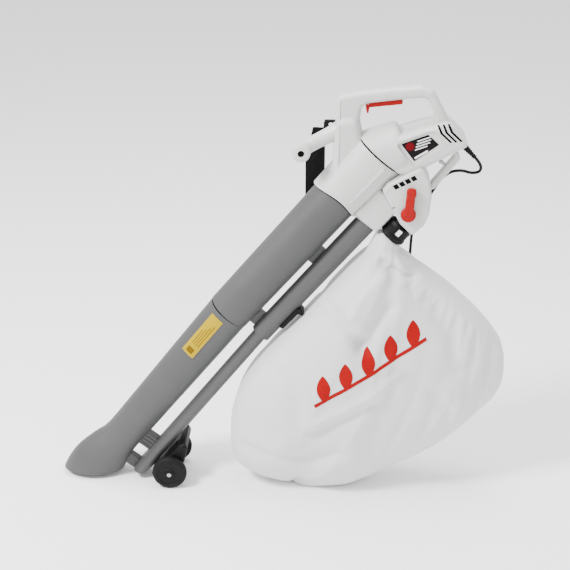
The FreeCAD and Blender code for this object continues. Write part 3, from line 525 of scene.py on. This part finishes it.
def rear_shell():
    """The fan drum grown together with the motor housing, with its label recess and vents."""
    drum = lathe_mesh([(-60, 0), (-60, 60), (28, 60), (36, 57.5), (41, 52), (42, 46), (42, 0)], MOTOR)
    outline = arc_corners([(215, 862, 8), (300, 891, 20), (350, 901, 12), (362, 895, 10), (395, 861, 6),
                           (395, 851, 5), (376, 841, 6), (276, 786, 10), (232, 784, 8)], 10)
    motor = slab_mesh([outline], -52, 52, 13, WORLD)
    mesh = blended([drum, motor], 0.0018, 5)
    ahead = box_mesh((60, 216.9), (-90, 90), (-130, 130), TOOL)
    recess = slab_mesh([arc_corners([(240, 858), (309, 886), (324, 885), (348, 858), (281, 808)], 6)],
                       -60, -49.4, 0.8, WORLD, 1)
    slits = []
    for step in range(3):
        x, z = 327 + 11.0 * step, 901.0 + 1.2 * step
        slits.append([(x, z), (x + 4.8, z), (x + 12.5, z - 16.5), (x + 34.5, z - 37.5), (x + 30, z - 39.5),
                      (x + 7.4, z - 18.5)])
    cutters = [ahead, recess] + [slab_mesh([slit], -60, -46, 0.3, WORLD, 1) for slit in slits]
    mesh = carved(mesh, cutters)
    publish("vent_shadow", joined(*[slab_mesh([slit], -49.6, -46.4, 0.2, WORLD, 1) for slit in slits]), SHADE_PAINT)
    publish("rear_shell", mesh, SHELL,
            instead_of=["fan_housing", "motor_housing_left", "motor_housing_right"])
    # a dark ring in the joint between the cone and the collar: painted shade in the gap
    publish("collar_gap_shade", tube_mesh([(212.0, 0, -5.5, 57.5, 64, 0), (217.6, 0, -5.5, 57.5, 64, 0)], TOOL,
                                    per_key=2, thickness=4.0, straight=True), SHADE_PAINT)


def rating_label():
    """A plain label in the motor's recess: a grey line of painted shade round the recess edge, a dark film, a disc
    and bars.
    """
    border = arc_corners([(238, 858), (309, 888), (325, 887), (351, 858), (281, 805)], 7)
    line = [(x, -51.8, z) for x, z in border]
    print_layer = (-50.6, -50.1, 0.1, WORLD, 1)
    # a grey bead round the recess: painted shade along its edge
    publish("recess_edge_shade", seam_mesh(line, 1.1, WORLD, True), SHELL_GREY)
    publish("rating_film", slab_mesh([arc_corners([(252, 858), (309, 880), (333, 858), (281, 820)], 2)],
                                     -50.2, -49.3, 0.2, WORLD, 1), PRINT_DARK)
    disc = slab_mesh([circle(271, 853, 9.5, 24)], *print_layer)
    publish("rating_disc", disc, RED_DARK)
    bars = []
    for row in range(4):
        x, z = 286 - row * 1.5, 866 - row * 6.5
        length = (28, 30, 30, 26)[row]
        rise = length * 0.36
        bar = [(x, z), (x + length, z + rise), (x + length + 0.8, z + rise - 2.2), (x + 0.8, z - 2.2)]
        bars.append(slab_mesh([bar], *print_layer))
    bars.append(slab_mesh([[(281, 829), (309, 846), (310, 842), (283, 825)]], *print_layer))
    publish("rating_bars", joined(*bars), PRINT_LIGHT)


def diverter():
    """The cheek that carries the lever, four dark sheets of painted shade for its slots, and the adapter to the
    blower tube.
    """
    outline = arc_corners([(166, -54, 4), (186, -52, 4), (258, -80, 6), (261, -90, 10), (250, -117, 14),
                           (226, -144, 14), (192, -168, 12), (166, -177, 10), (131, -173, 8),
                           (134, -135, 6), (161, -66, 4)], 8)
    publish("diverter_shell", slab_mesh([outline], -62, 14, 7, TOOL), SHELL,
            instead_of=["diverter_left", "diverter_right"])
    # dark sheets laid on the cheek: painted shade where the slots are
    dark = []
    for step in range(4):
        u = 190 + 13.0 * step
        v = -63 - 5.4 * step
        dark.append(slab_mesh([[(u, v + 2), (u + 10, v - 2), (u + 7.5, v - 13), (u - 2.5, v - 9)]],
                              -62.3, -61.0, 0.2, TOOL, 1))
    publish("diverter_slot_shade", joined(*dark), SHADE_PAINT)
    mark = slab_mesh([[(151, -93), (158, -97), (156.5, -100), (149.5, -96)]], -62.4, -61.5, 0.2, TOOL, 1)
    publish("diverter_mark", mark, SEAM)
    box = arc_corners([(78, -48, 3), (160, -50, 3), (160, -66.5, 3), (143.5, -114.5, 5), (80, -114.5, 4)], 4)
    publish("adapter_shell", slab_mesh([box], -42.5, 17, 4.5, TOOL), SHELL,
            instead_of=["blower_adapter"])
    publish("adapter_seam", joined(seam_mesh([(160, -42.6, -66), (143.5, -42.0, -113)], 1.4, TOOL),
                                   seam_mesh([(79, -42.2, -112.6), (143, -42.2, -112.6)], 1.2, TOOL)), SEAM)


def lever():
    """The red lever, drawn about the pivot of its joint."""
    pivot = (Vector(joints["mode_select"]["pos_m"]) - ORIGIN) * 1000
    near = -62.0
    x, z = pivot.x, pivot.z
    base = circle(x, z, 17, 48)
    top = arc_corners([(x - 6, z + 40), (x + 15.5, z + 40), (x + 16, z + 62), (x - 5.5, z + 62)], 8)
    neck = arc_corners([(x - 10, z - 2), (x + 10.5, z - 2), (x + 14.5, z + 58), (x - 4.5, z + 58)], 2)
    parts = [slab_mesh([base], near - 12.2, near - 2.3, 3.0, WORLD),
             slab_mesh([neck], near - 14.4, near - 6.5, 2.5, WORLD),
             slab_mesh([top], near - 16.4, near - 4.6, 3.4, WORLD)]
    mesh = blended(parts, 0.0009, 5)
    publish("lever_shell", mesh, RED, body="mode_lever", instead_of=["mode_lever"])


def lower_grip():
    """The bar under the motor, with the knob that the lead is hooked on."""
    outline = arc_corners([(369, 829, 2), (376.5, 839, 2), (381, 825, 8), (385.5, 812, 12), (331, 742, 12),
                           (320, 741, 2), (320, 752, 2), (325, 761, 6), (371.5, 821, 10)], 6)
    publish("lower_grip_shell", slab_mesh([outline], -11, 11, 4.8, WORLD), SHELL,
            instead_of=["lower_grip_bar"])
    place = Matrix.Translation(at(351, 0, 798)) @ Matrix.Rotation(math.radians(-142), 4, "Y") @ MM
    knob = lathe_mesh([(0, 0), (0, 3.6), (7, 3.6), (8.5, 5.4), (12, 5.4), (13, 4), (13, 0)], place, 24)
    publish("cord_hook_knob", knob, SHELL_GREY)


def side_handle():
    """A horn that leaves the post, turns towards the viewer and ends in a cap."""
    keys = [(118, 6, 871, 21), (100, 4, 862, 18), (74, -1, 850, 16.6), (52, -12, 841, 16.6),
            (40, -28, 837, 17.2), (37, -44, 836.5, 18.6), (36.6, -55, 836.5, 19.6)]
    verts = []
    around, per_key = 40, 6
    rings = (len(keys) - 1) * per_key + 1
    centres = [catmull([key[:3] for key in keys], index / per_key) for index in range(rings)]
    sizes = [catmull([(key[3],) for key in keys], index / per_key)[0] for index in range(rings)]
    for index in range(rings):
        ahead = Vector(centres[min(index + 1, rings - 1)]) - Vector(centres[max(index - 1, 0)])
        ahead.normalize()
        side = ahead.cross(Vector((0, 0, 1))).normalized()
        rise = side.cross(ahead).normalized()
        for step in range(around):
            angle = 2 * math.pi * step / around
            spot = Vector(centres[index]) + (side * math.cos(angle) + rise * math.sin(angle)) * sizes[index]
            verts.append(tuple(spot))
    mesh = outward(mesh_from(verts, ring_faces(rings, around), WORLD))
    publish("side_handle_horn", mesh, SHELL, instead_of=["aux_handle"])
    facing = Matrix.Translation(at(36.6, -56, 838)) @ Matrix.Rotation(math.radians(-90), 4, "Z") @ MM
    cap = lathe_mesh([(0, 0), (0, 19.6), (1.5, 20.4), (5.5, 19.6), (7.8, 16.5), (8.9, 11.5), (9, 7.8),
                      (6, 7.2), (6, 0)], facing)
    publish("side_handle_end", cap, SHELL, instead_of=["aux_handle_cap"])
    # a dark disc at the bottom of the cap's hole: painted shade in the hole
    publish("side_handle_hole_shade", lathe_mesh([(6.0, 0), (6.0, 7.0), (6.4, 7.0), (6.4, 0)], facing, 32), SHADE_PAINT)


def wheels():
    """Two tyres that ride their own wheels, and the carriage between them."""
    for side, name in ((-1, "wheel_left"), (1, "wheel_right")):
        y = -12 + side * 63
        place = Matrix.Translation(at(-274, y, 41)) @ Matrix.Rotation(math.radians(90 * side), 4, "Z") @ MM
        profile = [(-10, 4.1), (-10, 30), (-9.4, 36), (-7, 39.6), (-4, 40.9), (-3.2, 40.1), (-2.4, 40.9),
                   (2.4, 40.9), (3.2, 40.1), (4, 40.9), (7, 39.6), (9.4, 36), (10, 31), (8.4, 29.6),
                   (7.6, 27), (7.2, 16), (7.8, 13), (10, 11.5), (10, 4.1)]
        publish(name + "_tyre", lathe_mesh(profile, place, 96), RUBBER, body=name,
                instead_of=[name])
    outline = arc_corners([(-300, 20, 4), (-322, 26, 4), (-300, 46, 4), (-251, 106, 6), (-237, 112, 4),
                           (-231, 98, 5), (-240, 60, 12), (-254, 34, 12), (-272, 24, 8)], 5)
    publish("carriage_shell", slab_mesh([outline], -63, 39, 6, WORLD), BLACK,
            instead_of=["wheel_carriage"])


def brackets():
    """Three ribs between the nozzles."""
    ribs = []
    for step in range(3):
        x = -408 + step * 10
        outline = [(x, -44), (x + 4, -44), (x + 4, -72), (x, -72)]
        ribs.append(slab_mesh([outline], -20, -4, 1.0, LOWER, 2))
    publish("bracket_ribs", joined(*ribs), TUBE)


def bag_hook():
    """The hook under the blower tube that the bag hangs from."""
    outline = arc_corners([(-244, -106, 2), (-184, -106, 2), (-176, -112, 2), (-178, -125, 3),
                           (-185, -126, 3), (-190, -116, 3), (-240, -114, 3)], 3)
    publish("bag_hook_shell", slab_mesh([outline], -34, 4, 2, TOOL, 3), BLACK,
            instead_of=["bag_hook"])


NECK_Y, NECK_Z = -24.0, -148.0


def connector():
    """The black ring that holds the bag's neck, and the boss of its clip."""
    place = TOOL @ Matrix.Translation((0, NECK_Y, NECK_Z))
    profile = [(92, 24.2), (92, 28.4), (93.5, 29.4), (94, 31), (102, 31), (102.5, 29.2), (118, 29),
               (119, 29.7), (121, 29.7), (122, 29), (127.4, 28.8), (128, 28), (128, 24.2)]
    publish("connector_ring", lathe_mesh(profile, place, 72), BLACK,
            instead_of=["bag_connector"])
    boss = slab_mesh([[(106, -157), (128, -157), (128, -139), (106, -139)]], -58.4, -46, 1.5, TOOL, 3)
    publish("connector_boss", boss, BLACK)


# ---------------------------------------------------------------- soft pieces

# the bag's outline from its tip to its far end: x, low z, high z, half width
BAG_KEYS = [
    (-140, 100, 172, 14), (-134, 74, 206, 40), (-106, 44, 286, 74), (-46, 17, 368, 102), (35, 2, 454, 114),
    (100, 0, 532, 120), (150, 6, 588, 120), (196, 28, 624, 114), (235, 50, 620, 106), (300, 84, 570, 100),
    (380, 140, 510, 90), (450, 212, 442, 66), (496, 262, 384, 36), (508, 300, 350, 12)]


def bag_shape():
    """The bag as a closed lofted shell, drawn in at its neck."""
    around, per_key = 96, 7
    rings = (len(BAG_KEYS) - 1) * per_key + 1
    verts = []
    across = -16.0
    for ring in range(rings):
        x, low, high, half = catmull(BAG_KEYS, ring / per_key)
        tall = (high - low) / 2
        for step in range(around):
            angle = 2 * math.pi * step / around
            c, s = math.cos(angle), math.sin(angle)
            power = 0.72 if s > 0 else 0.95
            y = math.copysign(abs(c) ** power, c) * half
            z = math.copysign(abs(s) ** power, s) * tall
            verts.append((x, across + y, (low + high) / 2 + z))
    mesh = mesh_from(verts, ring_faces(rings, around), WORLD)
    neck = tube_mesh([(-40, -20, -186, 90, 68, 0), (0, -22, -172, 76, 55, 0), (36, -23, -158, 56, 42, 0),
                      (66, NECK_Y, -150, 38, 33.5, 0), (82, NECK_Y, NECK_Z, 31, 30.5, 0),
                      (91, NECK_Y, NECK_Z, 30, 30, 0)], TOOL, per_key=8, caps=True)
    return with_modifier(joined(mesh, neck), "REMESH", mode="VOXEL", voxel_size=0.0075)


# fold lines of the bag in the side view: points, depth (a ridge is negative) and width
FOLD_STRENGTH = 1.9
FOLDS = [
    ([(180, 402), (150, 440), (112, 476), (70, 500)], 9.0, 15.0),
    ([(182, 400), (205, 450), (236, 496)], 8.0, 15.0),
    ([(60, 196), (120, 232), (196, 276), (262, 330)], -4.5, 11.0),
    ([(70, 176), (130, 214), (206, 256)], 5.0, 16.0),
    ([(262, 330), (330, 290), (372, 240)], 4.5, 18.0),
    ([(222, 590), (250, 566), (292, 560)], 8.0, 9.0),
    ([(216, 560), (178, 520), (150, 470)], -4.5, 12.0),
    ([(-30, 330), (20, 300), (40, 250), (30, 190)], 4.0, 22.0),
    ([(-88, 120), (-20, 106), (60, 100), (130, 120)], 5.0, 16.0),
    ([(330, 500), (380, 420), (400, 330)], 4.5, 20.0)]


def folded(mesh):
    """The folds pressed into both broad sides of the bag."""
    normals = [vert.normal.copy() for vert in mesh.vertices]
    for vert, normal in zip(mesh.vertices, normals):
        spot = (vert.co - ORIGIN) * 1000
        flat = Vector((spot.x, spot.z))
        shift = 0.0
        for points, depth, width in FOLDS:
            best = math.inf
            for first, last in zip(points, points[1:]):
                a, b = Vector(first), Vector(last)
                t = max(0.0, min(1.0, (flat - a).dot(b - a) / (b - a).length_squared))
                best = min(best, (flat - a - (b - a) * t).length)
            shift += FOLD_STRENGTH * depth * math.exp(-(best / width) ** 2)
        side = min(1.0, abs(normal.y) * 1.6)
        vert.co -= normal * shift * 0.001 * side


FLOOR_GAP = 0.0004
CLOTH_STEPS = 26
CLOTH_REACH = 0.016
NECK_REACH = 0.036


def gathered(mesh, mouth, axis):
    """The cloth by the neck drawn into pleats that fade out along the bag."""
    for vert in mesh.vertices:
        d = vert.co - mouth
        along = -d.dot(axis)
        if along <= 0.008:
            continue
        side = d + axis * along
        angle = math.atan2(side.y, side.dot(axis.cross(Vector((0, 1, 0)))))
        vert.co += side * (0.075 * math.exp(-along / 0.11) * math.sin(9 * angle + 2.0 * math.sin(3 * angle)))
    return with_modifier(mesh, "SMOOTH", factor=0.5, iterations=2)


def filled(obj):
    """The cloth simulated under slight pressure, with no point moved further than CLOTH_REACH."""
    rest = [vert.co.copy() for vert in obj.data.vertices]
    cloth = obj.modifiers.new("cloth", "CLOTH")
    settings = cloth.settings
    settings.quality = 6
    settings.mass = 0.12
    settings.tension_stiffness = 22
    settings.compression_stiffness = 22
    settings.shear_stiffness = 12
    settings.bending_stiffness = 0.12
    settings.use_pressure = True
    settings.uniform_pressure_force = 2.2
    settings.shrink_min = -0.055
    settings.shrink_max = -0.055
    settings.vertex_group_mass = "held"
    settings.pin_stiffness = 3.0
    settings.effector_weights.gravity = 0.35
    cloth.collision_settings.use_collision = False
    scene = bpy.context.scene
    scene.frame_start, scene.frame_end = 1, CLOTH_STEPS
    cloth.point_cache.frame_start, cloth.point_cache.frame_end = 1, CLOTH_STEPS
    for number in range(1, CLOTH_STEPS + 1):
        scene.frame_set(number)
    shown = obj.evaluated_get(bpy.context.evaluated_depsgraph_get())
    moved = [vert.co.copy() for vert in shown.data.vertices]
    obj.modifiers.remove(cloth)
    scene.frame_set(1)
    for vert, before, after in zip(obj.data.vertices, rest, moved):
        step = after - before
        if step.length > CLOTH_REACH:
            step = step.normalized() * CLOTH_REACH
        vert.co = before + step
        vert.co.z = max(vert.co.z, FLOOR_GAP)


def opened(mesh, mouth, axis):
    """The mesh with the faces that close the neck's end taken away."""
    bm = bmesh.new()
    bm.from_mesh(mesh)
    closing = []
    for face in bm.faces:
        offset = face.calc_center_median() - mouth
        if offset.dot(axis) > -0.0022 and offset.length < NECK_REACH:
            closing.append(face)
    bmesh.ops.delete(bm, geom=closing, context="FACES")
    bm.to_mesh(mesh)
    bm.free()
    return mesh


def bag():
    """The cloth bag, held at its neck and where it lies on the ground."""
    mouth = TOOL @ Vector((91, NECK_Y, NECK_Z))
    axis = (TOOL.to_3x3() @ Vector((1, 0, 0))).normalized()
    mesh = gathered(bag_shape(), mouth, axis)
    obj = bpy.data.objects.new("bag_cloth_skin", mesh)
    bpy.context.scene.collection.objects.link(obj)
    held = obj.vertex_groups.new(name="held")
    for vert in mesh.vertices:
        along = -(vert.co - mouth).dot(axis)
        near = 1.0 - min(1.0, max(0.0, along - 0.004) / 0.03)
        floor = 0.9 if vert.co.z < 0.006 else 0.0
        held.add([vert.index], max(near, floor), "REPLACE")
    filled(obj)
    folded(obj.data)
    data = with_modifier(obj.data, "SMOOTH", factor=0.4, iterations=1)
    data = with_modifier(data, "SUBSURF", levels=1)
    for vert in data.vertices:
        vert.co.z = max(vert.co.z, FLOOR_GAP)
    bpy.data.objects.remove(obj)
    data = with_modifier(opened(data, mouth, axis), "SOLIDIFY", thickness=0.0008, offset=-1.0)
    piece = publish("bag_cloth_skin", data, CLOTH,
                    instead_of=["collection_bag", "bag_neck"])
    for face in data.polygons:
        face.use_smooth = True
    return piece


def leaf(centre_x, centre_z, length, width, turn):
    """Points of a plain leaf shape in the side view, as a grid of (x, z)."""
    rows = []
    for along in range(25):
        t = along / 24
        reach = math.sin(math.pi * t) ** 0.8 * width / 2
        row = []
        for step in range(-4, 5):
            x = (t - 0.5) * length
            z = reach * step / 4
            row.append((centre_x + x * math.cos(turn) - z * math.sin(turn),
                        centre_z + x * math.sin(turn) + z * math.cos(turn)))
        rows.append(row)
    return rows


def printed(name, grids, target, mat, rise=0.0007):
    """Flat shapes laid on the near side of a piece."""
    bm = bmesh.new()
    bm.from_mesh(target.data)
    tree = BVHTree.FromBMesh(bm)
    bm.free()
    verts, faces = [], []
    for grid in grids:
        faces += grid_faces(len(grid), len(grid[0]), len(verts))
        for row in grid:
            for x, z in row:
                origin = at(x, -400, z)
                hit, normal, _, _ = tree.ray_cast(origin, Vector((0, 1, 0)))
                verts.append(hit + normal * rise if hit else at(x, -120, z))
    mesh = mesh_from([tuple(v) for v in verts], faces, Matrix.Identity(4))
    bm = bmesh.new()
    bm.from_mesh(mesh)
    for face in bm.faces:
        if face.normal.y > 0:
            face.normal_flip()
    bm.to_mesh(mesh)
    bm.free()
    return publish(name, mesh, mat)


def bag_print(cloth):
    """A row of plain leaves on a line."""
    slope = math.radians(32)
    grids = []
    for step in range(5):
        x = 92 + step * 50
        z = 300 + step * 32
        grids.append(leaf(x, z, 68, 31, slope + math.radians(62)))
    line = []
    for index in range(40):
        t = index / 39
        line.append([(72 + t * 250 + step * 0.5, 256 + t * 160 - step) for step in (-4, 0, 4)])
    printed("bag_leaf_print", grids + [line], cloth, RED_PRINT)


def film(patches, radius, steps):
    """Patches (x from, x to, angle from, angle to) of film wrapped on the lower tube."""
    verts, faces = [], []
    for u_from, u_to, a_from, a_to in patches:
        faces += grid_faces(steps + 1, steps + 1, len(verts))
        for row in range(steps + 1):
            u = u_from + (u_to - u_from) * row / steps
            for step in range(steps + 1):
                angle = math.radians(a_from + (a_to - a_from) * step / steps)
                verts.append((u, -radius * math.cos(angle), radius * math.sin(angle)))
    return mesh_from(verts, faces, LOWER)


def tube_print():
    """A plain yellow film with a few faint lines."""
    publish("tube_film", film([(-131, -14, 4, 44)], 50.6, 10), YELLOW)
    lines = [(-102, -34 - step * 9, 12 + step * 6.5, 14 + step * 6.5) for step in range(4)]
    lines.append((-125, -111, 14, 34))
    publish("tube_film_lines", film(lines, 50.8, 6), PRINT_BROWN)


def strap():
    """Webbing that falls from the lug, folds at the bottom and comes back up."""
    width, fall = 44.0, 250
    verts = []
    rows, columns = 90, 6
    for row in range(rows + 1):
        t = row / rows
        if t <= 0.5:
            drop = t * 2
            y = 58.0 + 1.5 * math.sin(drop * 9)
        else:
            drop = (1 - t) * 2
            y = 65.0 - 1.5 * math.sin(drop * 7)
        z = 860 - drop * fall
        if abs(t - 0.5) < 0.02:
            y = 58 + (t - 0.48) / 0.04 * 7
        narrowed = 16 * max(0.0, 1 - drop * 3.2)
        for column in range(columns + 1):
            x = 44 + narrowed + (width - narrowed) * column / columns
            verts.append((x, y + 1.2 * math.sin(column * 1.1 + drop * 5), z))
    mesh = mesh_from(verts, grid_faces(rows + 1, columns + 1), WORLD)
    piece = publish("strap_webbing", mesh, WEBBING, instead_of=["shoulder_strap"])


# the lead from the motor's end round and down behind the bag to its plug
CORD_ROUTE = [(416.8, 0, 814.5), (431, 1, 799.5), (433, 10, 778), (414, 22, 770), (392, 26, 776),
              (366, 28, 771), (346, 30, 752), (332, 36, 724), (318, 48, 696), (304, 66, 664),
              (296, 84, 628), (292, 98, 590), (291, 106, 550), (291, 110, 508)]


def lead():
    """The lead along its route, and the ribbed sleeve that it comes out of."""
    curve = bpy.data.curves.new("lead_curve", "CURVE")
    curve.dimensions = "3D"
    curve.bevel_depth = 0.0035
    curve.bevel_resolution = 6
    curve.use_fill_caps = True
    curve.resolution_u = 16
    spline = curve.splines.new("NURBS")
    spline.points.add(len(CORD_ROUTE) - 1)
    for point, where in zip(spline.points, CORD_ROUTE):
        point.co = (*at(*where), 1)
    spline.order_u = 3
    spline.use_endpoint_u = True
    obj = bpy.data.objects.new("lead_cord", curve)
    bpy.context.scene.collection.objects.link(obj)
    curve.materials.append(CORD)
    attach(obj, "machine")
    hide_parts("power_cord")
    start = Matrix.Translation(at(384.7, 0, 847.7))
    turn = Vector((1, 0, 0)).rotation_difference(Vector((13.5, 0, -14))).to_matrix().to_4x4()
    profile = [(0, 0), (0, 8.4)]
    for rib in range(7):
        x = 3 + rib * 5.6
        radius = 8.3 - rib * 0.5
        profile += [(x, radius), (x + 0.8, radius - 1.1), (x + 2.4, radius - 1.1), (x + 3.2, radius - 0.2)]
    profile += [(45.8, 4.8), (46, 4.4), (46, 3.6), (46, 0)]
    publish("relief_sleeve", lathe_mesh(profile, start @ turn @ MM, 40), GRIP,
            instead_of=["strain_relief"])


# ---------------------------------------------------------------- camera, floor and light

def set_stage():
    """A pale floor, three soft lights and the camera that stands where the photograph was taken from."""
    bpy.ops.mesh.primitive_plane_add(size=12, location=(0, 0, -0.0005))
    floor = bpy.context.object
    floor.name = "floor"
    floor.data.materials.append(material("floor_pale", (0.97, 0.97, 0.97), 0.9, 0.0, 200.0, 0.0))
    world = bpy.context.scene.world or bpy.data.worlds.new("world")
    bpy.context.scene.world = world
    world.use_nodes = True
    world.node_tree.nodes["Background"].inputs["Color"].default_value = (1, 1, 1, 1)
    world.node_tree.nodes["Background"].inputs["Strength"].default_value = 1.5
    lamps = (("key", (-1.9, -1.3, 3.0), 235, 0.8), ("fill", (2.4, -2.2, 1.2), 10, 2.0),
             ("top", (0.3, 0.4, 3.2), 90, 1.4))
    for name, place, energy, size in lamps:
        light = bpy.data.lights.new(name, "AREA")
        light.energy = energy
        light.size = size
        lamp = bpy.data.objects.new(name, light)
        lamp.location = place
        lamp.rotation_euler = (Vector((0, 0, 0.5)) - Vector(place)).to_track_quat("-Z", "Y").to_euler()
        bpy.context.scene.collection.objects.link(lamp)
    tilt, turn, distance = math.radians(23.7), math.radians(2.0), 3.0
    look = Vector((-math.sin(turn) * math.cos(tilt), math.cos(turn) * math.cos(tilt), -math.sin(tilt)))
    camera = bpy.data.cameras.new("camera")
    camera.lens = 82.36
    camera.sensor_width = 36.0
    camera.clip_end = 50
    eye = bpy.data.objects.new("camera", camera)
    eye.location = at(0, 0, 502) - look * distance
    eye.rotation_euler = look.to_track_quat("-Z", "Y").to_euler()
    bpy.context.scene.collection.objects.link(eye)
    bpy.context.scene.camera = eye


dress_frame()
set_stage()
tubes()
front_lines(front_shell())
rear_shell()
rating_label()
diverter()
lever()
lower_grip()
side_handle()
wheels()
brackets()
bag_hook()
connector()
cloth_bag = bag()
bag_print(cloth_bag)
tube_print()
strap()
lead()
